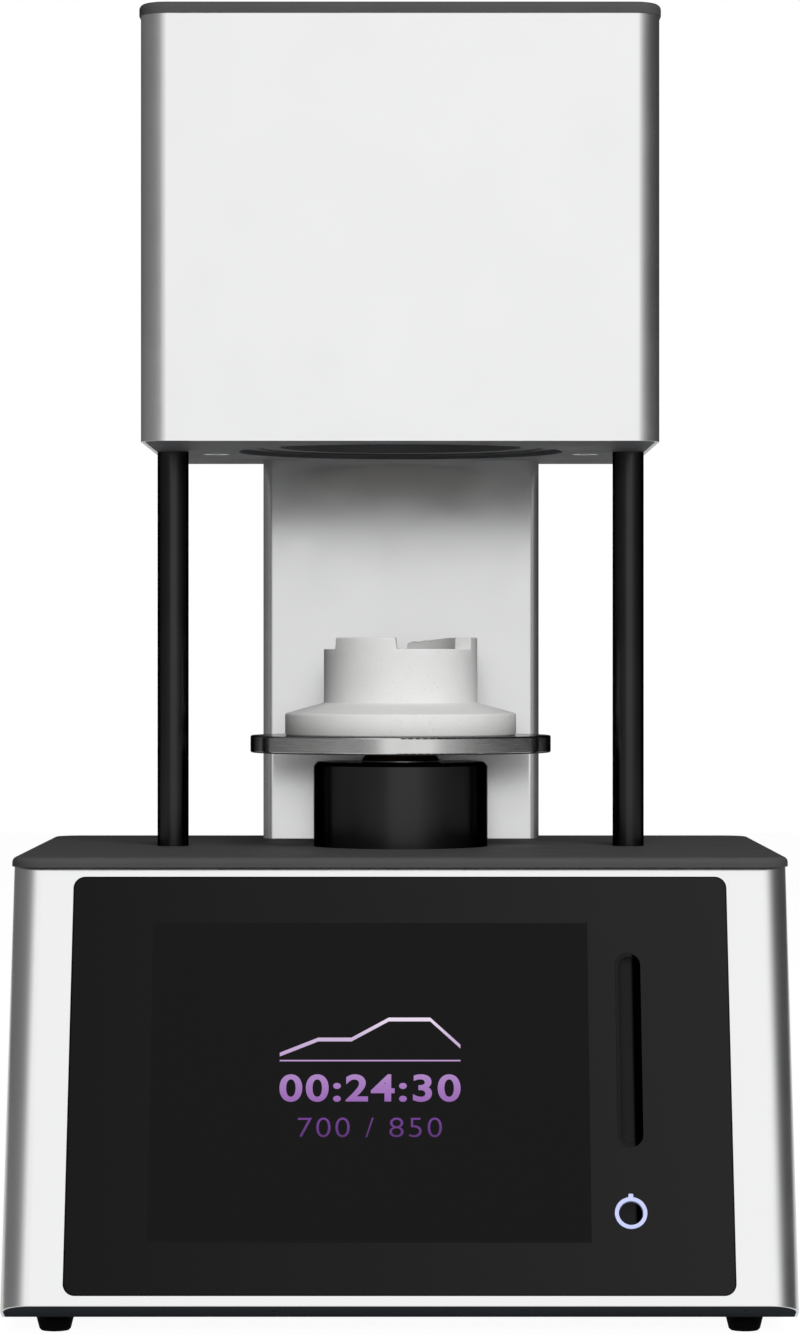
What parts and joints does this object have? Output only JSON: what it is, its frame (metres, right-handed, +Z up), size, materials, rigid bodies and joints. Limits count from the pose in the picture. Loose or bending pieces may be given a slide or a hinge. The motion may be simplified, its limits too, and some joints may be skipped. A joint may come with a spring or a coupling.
{
  "type": "dental press furnace",
  "caption": "Bench press furnace for dental ceramics: wedge base with a glass front panel, a lift table with a ceramic socle, and a firing tower on columns.",
  "frame": {"origin": "on the table top, under the centre of the furnace's bounding box", "axes": "+Z up, -Y to the front with the glass panel, +X to the right seen from the front"},
  "size_m": [0.3816, 0.3704, 0.6473],
  "materials": {
    "satin_silver": "satin, fine bead-blasted and clear coated",
    "dark_lid": "dark grey satin powder coat",
    "tray_grey": "blue-black satin paint",
    "black_glass": "black back-printed glass, gloss",
    "black_plastic": "black moulded plastic",
    "display_panel": "unlit display module",
    "lit_ring": "translucent light ring, pale lavender",
    "circuit_green": "solder-masked circuit board",
    "rubber_black": "matt black rubber",
    "seal_rubber": "red-brown silicone rubber",
    "column_black": "black anodised, satin",
    "table_steel": "turned dark stainless steel",
    "bright_steel": "ground steel",
    "brass_parts": "turned brass and bronze",
    "zinc_sheet": "plain satin sheet and plate",
    "tower_floor_grey": "grey satin stainless steel plate",
    "motor_black": "black painted laminations",
    "pipe_plastic": "grey vacuum line",
    "socle_ceramic": "matt white fired ceramic",
    "fibre_insulation": "vacuum-formed ceramic fibre",
    "quartz": "frosted quartz tube",
    "heater_wire": "oxidised heater wire",
    "plunger_ceramic": "dense alumina"
  },
  "bodies": {
    "furnace": {"base_casing": "satin_silver", "tower_casing": "satin_silver", "rear_column": "satin_silver", "base_lid": "dark_lid", "tower_lid": "dark_lid", "base_tray": "tray_grey", "tray_screws": "tray_grey", "front_glass": "black_glass", "front_frame": "black_plastic", "touch_slider": "black_plastic", "mains_inlet": "black_plastic", "switch_frame": "black_plastic", "fan_frame": "black_plastic", "display_module": "display_panel", "power_ring": "lit_ring", "button_board": "circuit_green", "controller_board": "circuit_green", "rubber_feet": "rubber_black", "chamber_seal": "seal_rubber", "front_columns": "column_black", "lift_collar": "column_black", "press_guide_rod": "bright_steel", "screw_bearing": "bright_steel", "column_bolts": "bright_steel", "floor_screws": "bright_steel", "rear_screws": "bright_steel", "guide_bush": "brass_parts", "plunger_bush": "brass_parts", "vacuum_nipple": "brass_parts", "rear_panel": "zinc_sheet", "motor_bracket": "zinc_sheet", "chamber_shell": "zinc_sheet", "power_supply": "zinc_sheet", "data_sockets": "zinc_sheet", "fan_guard": "zinc_sheet", "press_frame": "zinc_sheet", "tower_floor": "tower_floor_grey", "lift_motor": "motor_black", "press_motor": "motor_black", "vacuum_valve": "motor_black", "vacuum_pipe": "pipe_plastic", "side_insulation": "fibre_insulation", "top_insulation": "fibre_insulation", "quartz_tube": "quartz", "heating_coil": "heater_wire", "thermocouple": "plunger_ceramic"},
    "lift": {"lift_rod": "bright_steel", "lift_nut": "brass_parts", "rod_flange": "brass_parts", "table_plate": "table_steel", "table_screws": "bright_steel", "firing_socle": "socle_ceramic"},
    "lift_screw": {"lead_screw": "bright_steel"},
    "press_drive": {"press_crosshead": "zinc_sheet", "press_plunger": "plunger_ceramic"},
    "press_spindle": {"press_screw": "bright_steel"},
    "power_key": {"power_button": "black_plastic"},
    "mains_switch": {"switch_rocker": "black_plastic"},
    "fan": {"fan_rotor": "black_plastic"},
    "fuse_holder": {"fuse_drawer": "black_plastic"}
  },
  "joints": [
    {"name": "lift_slide", "type": "slide", "parent": "furnace", "child": "lift", "axis": [0, 0, 1], "range_m": [0, 0.1481]},
    {"name": "lift_screw_turn", "type": "hinge", "parent": "furnace", "child": "lift_screw", "pos_m": [0, 0.02675, 0.1], "axis": [0, 0, 1], "range_deg": [0, 5400]},
    {"name": "press_slide", "type": "slide", "parent": "furnace", "child": "press_drive", "axis": [0, 0, -1], "range_m": [0, 0.045]},
    {"name": "press_screw_turn", "type": "hinge", "parent": "furnace", "child": "press_spindle", "pos_m": [0.107, 0.02675, 0.6], "axis": [0, 0, 1], "range_deg": [0, 2040]},
    {"name": "power_key_press", "type": "slide", "parent": "furnace", "child": "power_key", "axis": [0, 0.9377, -0.3473], "range_m": [0, 0.001], "stiffness_N_per_m": 400, "springref_m": -0.001},
    {"name": "mains_switch_rock", "type": "hinge", "parent": "furnace", "child": "mains_switch", "pos_m": [0.112, 0.16375, 0.108], "axis": [-1, 0, 0], "range_deg": [0, 14]},
    {"name": "fan_spin", "type": "hinge", "parent": "furnace", "child": "fan", "pos_m": [-0.096, 0.15675, 0.13], "axis": [0, 1, 0], "continuous": true},
    {"name": "fuse_drawer_slide", "type": "slide", "parent": "furnace", "child": "fuse_holder", "axis": [0, 1, 0], "range_m": [0, 0.02]}
  ],
  "couplings": [
    {"joint": "lift_screw_turn", "follows": "lift_slide", "rad_per_m": 628.32},
    {"joint": "press_screw_turn", "follows": "press_slide", "rad_per_m": 785.4}
  ]
}
